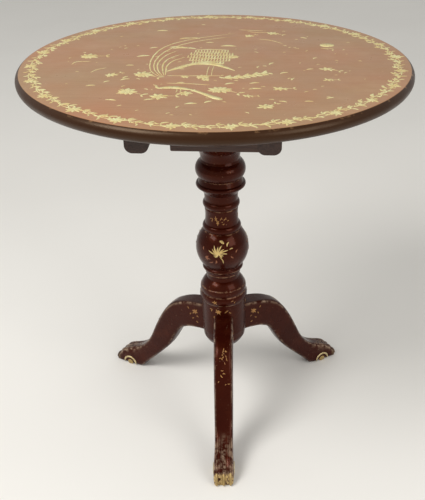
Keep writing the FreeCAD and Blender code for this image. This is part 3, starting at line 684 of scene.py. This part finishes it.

# %% [markdown]
# ### The picture in the middle
# Long grasses bend over a round basket of petals that stands on spread leaves, with a
# long-tailed bird below, and flowers, a disc and scattered leaves about.
# Each thing is a few strokes placed in millimetres from the centre.

# %% Grasses, basket and ground
picture = []
GRASSES = [
    [(-92, -86), (-112, -55), (-121, 5), (-116, 70), (-95, 118), (-50, 160), (15, 196)],
    [(-90, -84), (-106, -50), (-113, 2), (-104, 62), (-78, 112), (-35, 148), (10, 171)],
    [(-88, -82), (-100, -50), (-106, -8), (-98, 40), (-80, 72)],
    [(-86, -80), (-92, -50), (-96, -15), (-90, 20), (-70, 50)],
    [(-84, -78), (-86, -52), (-88, -25), (-80, 8), (-62, 28)],
]
for points in GRASSES:
    picture.append(stroke(points, 1.7, 0.45))
GRASS_LEAVES = [
    (-88, 150, 20, 26), (-70, 158, -5, 22), (-100, 92, 5, 24), (-92, 84, 10, 34), (-74, 88, -8, 26),
]
picture += leaves_at(GRASS_LEAVES, 0.15)
BASKET = ((-10, -46, 12), (8, -54, 20), (26, -58, 26), (44, -56, 24), (61, -48, 14))
for row, (low, left, right) in enumerate(BASKET):
    for x in np.arange(left, right, 5.4) + 1.5 * (row % 2):
        rib = [(x, low), (x + 0.6, low + 8), (x, low + 16)]
        picture.append(stroke(rib, rng.uniform(1.4, 2.4), 0.3))
    middle = (left + right) / 2
    picture.append(stroke([(left, low + 2), (middle, low - 2), (right, low + 2)], 1.7, 0.3))
picture.append(stroke([(-47, 78), (-18, 82), (13, 78)], 1.8, 0.3))
picture += flower(24, 36, 12, 8, 10, 0.3)
picture.append(stroke([(-84, -56), (-66, -34), (-44, -12), (-18, -12)], 7.0, 0.7))
picture.append(stroke([(-56, -18), (-40, -8), (-10, -10), (8, -22), (32, -47)], 7.5, 0.7))
picture.append(stroke([(-44, -8), (-20, -2), (10, -8)], 7.0, 0.6))
for x in (-14, -6):
    picture.append(stroke([(x, -20), (x - 1, -45), (x, -76)], 0.9, 0.3))
picture.append(stroke([(-80, -80), (-40, -79), (15, -76)], 1.3, 0.3))
picture.append(stroke([(-76, -120), (-40, -121), (-4, -126)], 1.4, 0.3))
for x, y, r, petals in ((-50, -84, 9, 6), (-20, -84, 14, 8), (-14, -98, 9, 6)):
    picture += flower(x, y, r, petals, 12, 0.3)
for i, x in enumerate(np.linspace(18, 88, 15)):
    y = -88 + 30 * ((x - 18) / 70) ** 1.6
    picture.append(leaf(x, y, 50 + 25 * (i % 3), 15, 3.6))
    picture.append(leaf(x, y, -30 - 20 * (i % 2), 11, 2.8))
    picture.append(leaf(x, y, 150 + 15 * (i % 3), 12, 3.0))
print("grasses, basket and ground take", len(picture), "strokes")

# %% Bird, flowers and scattered leaves
picture.append(stroke([(-88, -147), (-62, -141), (-28, -152)], 7.5, 0.7))
picture.append(stroke([(-78, -148), (-88, -143), (-91, -131)], 3.0, 0.5))
picture.append(leaf(-90, -132, 150, 8, 1.2))
tail = smooth_path([(-36, -148), (-14, -166), (4, -184), (22, -197)], STEPS)
picture.append((tail, np.interp(T, [0, 0.85, 1], [3.2, 7.0, 2.0])))
for x in (-56, -50):
    picture.append(stroke([(x, -146), (x + 2, -156), (x + 1, -166)], 0.8, 0.3))
FLOWERS = [
    (-135, -165, 19, 9), (-80, -186, 17, 7), (-40, -170, 14, 7), (14, -150, 21, 10),
    (110, -140, 14, 5), (90, -226, 15, 6), (190, -30, 14, 5), (190, -90, 10, 4),
    (45, 180, 11, 7), (90, 202, 13, 7), (-235, 26, 19, 9), (-175, -80, 13, 6),
    (-122, -76, 19, 9), (60, -178, 9, 5),
]
for i, (x, y, r, petals) in enumerate(FLOWERS):
    picture += flower(x, y, r, petals, 17.0 * i, 0.24)
    picture += spray(x + 4, y - 3, -25.0 + 40 * (i % 3), r * 1.5, 2, r * 0.55)
picture.append(disc(196, 121, 14))
picture.append(stroke([(184, 100), (196, 97), (208, 101)], 1.6, 0.5))
SWEEPS = [
    [(65, 158), (88, 150), (112, 128)],
    [(22, 226), (50, 222), (78, 219)],
    [(-255, -25), (-250, -8), (-225, -4)],
    [(40, 214), (62, 206), (84, 208)],
    [(-190, -40), (-205, -52), (-212, -68)],
    [(-100, -82), (-112, -80), (-124, -76)],
]
for points in SWEEPS:
    picture.append(stroke(points, 1.4, 0.5))
LEAVES = [
    (-150, 28, 20, 24), (-160, -25, 5, 14), (-155, -108, 30, 18), (-152, -98, 60, 14),
    (-205, -140, 15, 16), (-100, -205, 20, 16), (-35, -220, 10, 20), (-5, -214, 40, 16),
    (-45, -240, 70, 12), (110, -200, -20, 14), (185, -186, 30, 14), (145, 174, -30, 15),
    (-140, 209, 5, 22), (-35, 126, 10, 16), (-5, 105, 0, 30), (-135, 84, 25, 16),
    (155, -36, 25, 14), (90, -10, 60, 16), (60, -116, 15, 18), (60, -145, 10, 22),
    (-160, -205, -10, 18), (-180, -120, 40, 12), (-60, -118, 8, 14), (20, -122, 25, 18),
    (150, -200, 0, 14), (130, -95, 70, 14), (110, -60, 30, 16), (70, -30, 75, 12),
    (168, 30, 50, 12), (206, 84, 80, 10),
]
picture += leaves_at(LEAVES, 0.17)
for _ in range(110):
    r, a = 275 * math.sqrt(rng.uniform(0.02, 1)), rng.uniform(0, 2 * math.pi)
    x, y = r * math.cos(a), r * math.sin(a)
    size = rng.uniform(4, 9)
    if y > 120 and rng.uniform() < 0.6:
        continue
    picture.append(leaf(x, y, rng.uniform(-40, 60), size, size * 0.16))
lay_on("gilt_picture", picture, in_picture, "top", gold_on_top)

# %% [markdown]
# ### Sprays on the column
# The column carries the same work in darker gold: a spiky flower on the ball, leaves
# round the neck above it and small flowers on the hub. The strokes are drawn flat, as
# distance round the column against height, and wrapped on using the column's own
# outline, which is read from the solid piece.

# %% Wrap strokes on the column
points = np.array([v.co for v in nodes["column"].data.vertices])
heights = np.linspace(HUB_TOP - 0.055, 0.56, 260)
reach = np.hypot(points[:, 0], points[:, 1])
order = np.argsort(points[:, 2])
level, far = points[order, 2], reach[order]
outline = []
for h in heights:
    lo, hi = np.searchsorted(level, h - 0.0022), np.searchsorted(level, h + 0.0022)
    outline.append(far[lo:hi].max() if hi > lo else np.nan)
outline = np.array(outline)
known = ~np.isnan(outline)
outline = np.interp(heights, heights[known], outline[known])
print("the ball is", round(2 * outline.max() * 1000, 1), "mm across")


WRAP_R = 44.0


def on_column(degrees):
    def place(u, v, lift):
        """Distance u becomes the angle u / WRAP_R at every height v. So a stroke keeps its
        angle but is drawn wider on the ball and narrower on the necks."""
        r = np.interp(v / 1000, heights, outline) * 1000
        a = math.radians(degrees) + u / WRAP_R
        return np.stack([(r + lift) * np.cos(a), (r + lift) * np.sin(a), v], -1) / 1000

    return place


NECK_LEAVES = [
    (3, 424, 60, 5), (6, 420, 10, 4), (9, 426, 120, 6), (12, 423, 40, 7), (14, 418, 200, 6),
    (19, 425, 95, 6), (22, 421, 30, 5), (-17, 424, 130, 6), (-21, 419, 60, 6), (-27, 425, 10, 5),
]
HUB_LEAVES = [
    (-20, 226, 60, 7), (-24, 231, 10, 6), (8, 226, 20, 5), (16, 232, 200, 6), (22, 224, 140, 6),
    (-14, 212, 70, 6), (12, 210, 110, 6), (-22, 205, 20, 6), (20, 252, 15, 6), (27, 247, 60, 5),
]


def neck_spray():
    made = flower(-9, 427, 6.5, 5, 20, 0.16) + flower(-4, 419, 6, 5, 50, 0.22)
    return made + leaves_at(NECK_LEAVES, 0.2)


def ball_flower():
    made = [leaf(0, 362, a, 15 + 4 * (i % 2), 1.5, 0.1) for i, a in enumerate(range(5, 180, 22))]
    made += [leaf(0, 362, a, 9, 1.4, 0.1) for a in (-20, -48, 200, 226)]
    made += [leaf(10, 382, 150, 10, 2.6, -0.1)]
    made += [leaf(15, 377, 60, 9, 1.5), leaf(19, 371, 10, 7, 1.3)]
    made.append(stroke([(2, 358), (7, 350), (8, 343)], 0.8, 0.4))
    return made


def ball_leaves():
    made = [leaf(-24 + 5 * i, 350 - 4 * (i % 2), 40 + 55 * i, 9, 1.5) for i in range(5)]
    made += [leaf(26, 352, 130, 8, 1.3), leaf(30, 362, 60, 7, 1.2)]
    return made + [leaf(-27, 366, 100, 7, 1.3)]


def hub_flowers():
    made = flower(-5, 228, 7.5, 6, 8, 0.2) + flower(-10, 251, 6, 5, 30, 0.16)
    return made + leaves_at(HUB_LEAVES, 0.17)


STEM_WORK = (
    ("gilt", ball_flower(), gold_on_stem),
    ("faded", neck_spray() + hub_flowers(), gold_faded),
    ("red", ball_leaves(), gold_red),
)
for n, degrees in enumerate((-94.0, 26.0, 146.0), start=1):
    for label, strokes, gold in STEM_WORK:
        lay_on(f"{label}_stem_{n}", strokes, on_column(degrees), "base", gold, 0.3)

# %% [markdown]
# ### Leaves down the legs
# A few small leaves are scattered down the upper face of each leg. They are laid on the
# leg's own top line, so distance along them runs with the curve of the leg.

# %% Leaves on the legs
run = np.concatenate([[0], np.cumsum(np.linalg.norm(np.diff(over, axis=0), axis=1))]) * 1000
out_of = (over - under) / np.linalg.norm(over - under, axis=1, keepdims=True)


def on_leg(degrees):
    angle = leg_angle(degrees)

    def place(u, v, lift):
        """u goes across the leg and v along it; lift stands away from its top line."""
        x, z = np.interp(v, run, over[:, 0]), np.interp(v, run, over[:, 1])
        nx, nz = np.interp(v, run, out_of[:, 0]), np.interp(v, run, out_of[:, 1])
        rise = (lift + 0.02) / 1000
        return turned(np.stack([x + nx * rise, u / 1000, z + nz * rise], -1), angle)

    return place


leg_leaves = []
for v, count in ((92, 6), (104, 7), (128, 4), (150, 3)):
    for _ in range(count):
        across, along = rng.uniform(-9, 9), v + rng.uniform(-6, 6)
        leg_leaves.append(leaf(across, along, rng.uniform(0, 360), rng.uniform(3, 7), 1.0))
for name, degrees in LEGS.items():
    spot = on_leg(degrees)
    lay_on(f"gilt_leg_{name}", leg_leaves, spot, "base", gold_faded, 0.25)


CHEEK_OUT = 18.55


def on_cheek(degrees, cheek):
    angle = leg_angle(degrees)

    def place(u, v, lift):
        """u is the distance from the column's axis and v the height, on one flat side."""
        return turned(np.stack([u, cheek * (CHEEK_OUT + lift), v], -1) / 1000, angle)

    return place


ROOT_LEAVES = ((67, 188, 300), (50, 182, 30), (56, 172, 200), (66, 176, 150), (73, 196, 60))
root_spray = flower(58, 194, 8, 6, 10, 0.2) + [leaf(x, z, a, 6, 1.1) for x, z, a in ROOT_LEAVES]
for name, degrees in LEGS.items():
    for cheek in (-1, 1):
        label = "right" if cheek > 0 else "left"
        spot = on_cheek(degrees, cheek)
        lay_on(f"spray_{name}_{label}", root_spray, spot, "base", gold_faded, 0.25)

# %% [markdown]
# ## Floor, light and camera
# The table stands on a plain pale floor under two broad soft lights and a bright even
# sky, which is what gives the lacquer its pale sheen. The camera stands a little above
# the top and looks down on it.

# %% Floor and light
bpy.ops.mesh.primitive_plane_add(size=40, location=(0, 0, 0))
floor = bpy.context.object
floor.name = "floor"
pale = Finish("pale_floor")
pale.colour(pale.mix(pale.noise(1.5, 2.0), (0.83, 0.82, 0.79), (0.86, 0.85, 0.82)))
pale.gloss(rough=0.75)
floor.data.materials.append(pale.material)

world = bpy.data.worlds.new("studio")
bpy.context.scene.world = world
world.use_nodes = True
world.node_tree.nodes["Background"].inputs["Color"].default_value = (1.0, 0.985, 0.95, 1)
world.node_tree.nodes["Background"].inputs["Strength"].default_value = 0.5


def soft_light(name, place, size, power, tint):
    lamp = bpy.data.lights.new(name, "AREA")
    lamp.size, lamp.energy, lamp.color = size, power, tint
    obj = bpy.data.objects.new(name, lamp)
    obj.location = place
    obj.rotation_euler = (Vector((0, 0, 0.4)) - Vector(place)).to_track_quat("-Z", "Y").to_euler()
    bpy.context.scene.collection.objects.link(obj)


soft_light("window_light", (-1.6, -1.2, 2.6), 1.4, 62, (1.0, 0.98, 0.95))
soft_light("fill_light", (2.0, -1.6, 1.7), 1.6, 26, (1.0, 0.97, 0.93))
bpy.context.scene.view_settings.view_transform = "Standard"
print("two soft lights and an even sky")

# %% Camera
place = Vector((0.126, -1.406, 1.1425))
turn, down, lean = math.radians(-0.62), math.radians(27.12), math.radians(0.62)
ahead = Vector((math.sin(turn) * math.cos(down), math.cos(turn) * math.cos(down), -math.sin(down)))
right = Vector((math.cos(turn), -math.sin(turn), 0))
up = right.cross(ahead)
c, s = math.cos(lean), math.sin(lean)
right, up = c * right + s * up, c * up - s * right
camera = bpy.data.cameras.new("camera")
camera.sensor_width, camera.lens = 36, 60.0
camera.shift_x, camera.shift_y = -0.135, -0.070
seen = bpy.data.objects.new("camera", camera)
seen.matrix_world = Matrix.Translation(place) @ Matrix((right, up, -ahead)).transposed().to_4x4()
bpy.context.scene.collection.objects.link(seen)
bpy.context.scene.camera = seen
print("camera", round(place.length, 2), "m from the origin")
